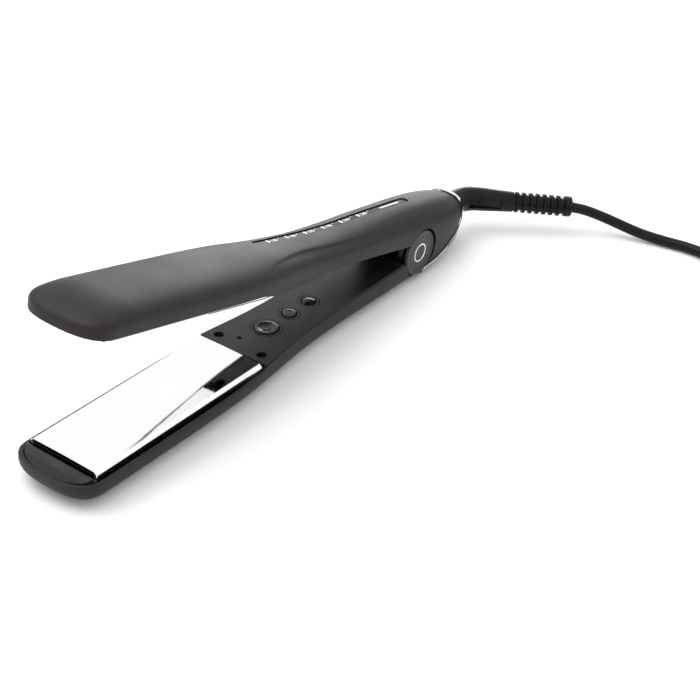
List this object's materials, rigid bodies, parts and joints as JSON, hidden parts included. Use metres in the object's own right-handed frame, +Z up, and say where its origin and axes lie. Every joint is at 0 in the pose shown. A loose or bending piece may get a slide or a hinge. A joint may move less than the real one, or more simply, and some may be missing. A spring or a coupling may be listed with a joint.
{
  "type": "flat iron",
  "caption": "Long two-armed hair straightener, sprung open at a rear hinge, with wide floating plates, push buttons, a temperature window and a swivelling mains lead.",
  "frame": {"origin": "lowest point under the middle of the iron, without its boot and mains lead", "axes": "+X from the plates to the hinge and the mains lead, +Y across the plates, +Z up from the lower arm to the upper arm"},
  "size_m": [0.4752, 0.2377, 0.0897],
  "materials": {
    "soft_shell": "soft-touch matte dark grey, fine grain",
    "black_plastic": "satin black moulding",
    "titanium": "polished bright metal plate",
    "ceramic": "plain heating element",
    "steel": "plain sheet and pin stock",
    "chrome": "bright plated trim",
    "brass": "plain turned contact metal",
    "circuit": "board",
    "silicone": "soft heat-proof pad",
    "window": "dark clear window",
    "lamp": "clear lamp body",
    "rubber": "semi-gloss black flexible moulding",
    "wire": "insulated lead"
  },
  "bodies": {
    "lower_arm": {"lower_shell": "soft_shell", "lower_nose_cover": "black_plastic", "lower_cushion_front": "silicone", "lower_cushion_rear": "silicone", "lower_inner_cover": "black_plastic", "cover_screw_near": "steel", "cover_screw_far": "steel", "power_switch": "steel", "plus_switch": "steel", "minus_switch": "steel", "status_lamp": "lamp", "main_board": "circuit", "lower_hinge_bracket": "steel", "hinge_pin": "steel", "hinge_cap_near": "black_plastic", "hinge_cap_far": "black_plastic", "opening_spring": "steel", "lower_leads": "wire", "swivel_housing": "black_plastic", "swivel_collar": "chrome", "brush_block": "black_plastic", "cord_tube": "rubber", "cord_coil": "rubber", "cord_tie": "black_plastic", "cord_tail": "rubber", "plug_body": "rubber", "plug_pin_left": "brass", "plug_pin_right": "brass"},
    "upper_arm": {"upper_shell": "soft_shell", "upper_nose_cover": "black_plastic", "upper_cushion_front": "silicone", "upper_cushion_rear": "silicone", "upper_inner_cover": "black_plastic", "display_lens": "window", "display_board": "circuit", "scale_lamp_1": "lamp", "scale_lamp_2": "lamp", "scale_lamp_3": "lamp", "scale_lamp_4": "lamp", "scale_lamp_5": "lamp", "scale_lamp_6": "lamp", "upper_hinge_bracket": "steel", "upper_leads": "wire", "hood_trim": "chrome"},
    "lower_plate_carrier": {"lower_plate": "titanium", "lower_heater": "ceramic", "lower_heater_clip": "steel", "lower_thermistor": "brass"},
    "upper_plate_carrier": {"upper_plate": "titanium", "upper_heater": "ceramic", "upper_heater_clip": "steel", "upper_thermal_fuse": "steel"},
    "power_key": {"power_button": "black_plastic"},
    "plus_key": {"plus_button": "black_plastic"},
    "minus_key": {"minus_button": "black_plastic"},
    "swivel": {"swivel_stem": "brass", "slip_ring_front": "brass", "slip_ring_rear": "brass", "swivel_boot": "rubber"}
  },
  "joints": [
    {"name": "arm_hinge", "type": "hinge", "parent": "lower_arm", "child": "upper_arm", "pos_m": [0.1043, 0, 0.0164], "axis": [0, -1, 0], "range_deg": [0, 13.9], "stiffness_Nm_per_rad": 0.6, "springref_deg": -51.57},
    {"name": "lower_plate_float", "type": "slide", "parent": "lower_arm", "child": "lower_plate_carrier", "axis": [0, 0, -1], "range_m": [0, 0.001], "stiffness_N_per_m": 4000, "springref_m": -0.0006},
    {"name": "upper_plate_float", "type": "slide", "parent": "upper_arm", "child": "upper_plate_carrier", "axis": [0.2402, 0, 0.9707], "range_m": [0, 0.001], "stiffness_N_per_m": 4000, "springref_m": -0.0006},
    {"name": "power_press", "type": "slide", "parent": "lower_arm", "child": "power_key", "axis": [0, 0, -1], "range_m": [0, 0.0006], "stiffness_N_per_m": 800, "springref_m": -0.001},
    {"name": "plus_press", "type": "slide", "parent": "lower_arm", "child": "plus_key", "axis": [0, 0, -1], "range_m": [0, 0.0006], "stiffness_N_per_m": 800, "springref_m": -0.001},
    {"name": "minus_press", "type": "slide", "parent": "lower_arm", "child": "minus_key", "axis": [0, 0, -1], "range_m": [0, 0.0006], "stiffness_N_per_m": 800, "springref_m": -0.001},
    {"name": "cord_swivel", "type": "hinge", "parent": "lower_arm", "child": "swivel", "pos_m": [0.1469, 0, 0.019], "axis": [-1, 0, 0], "continuous": true}
  ]
}
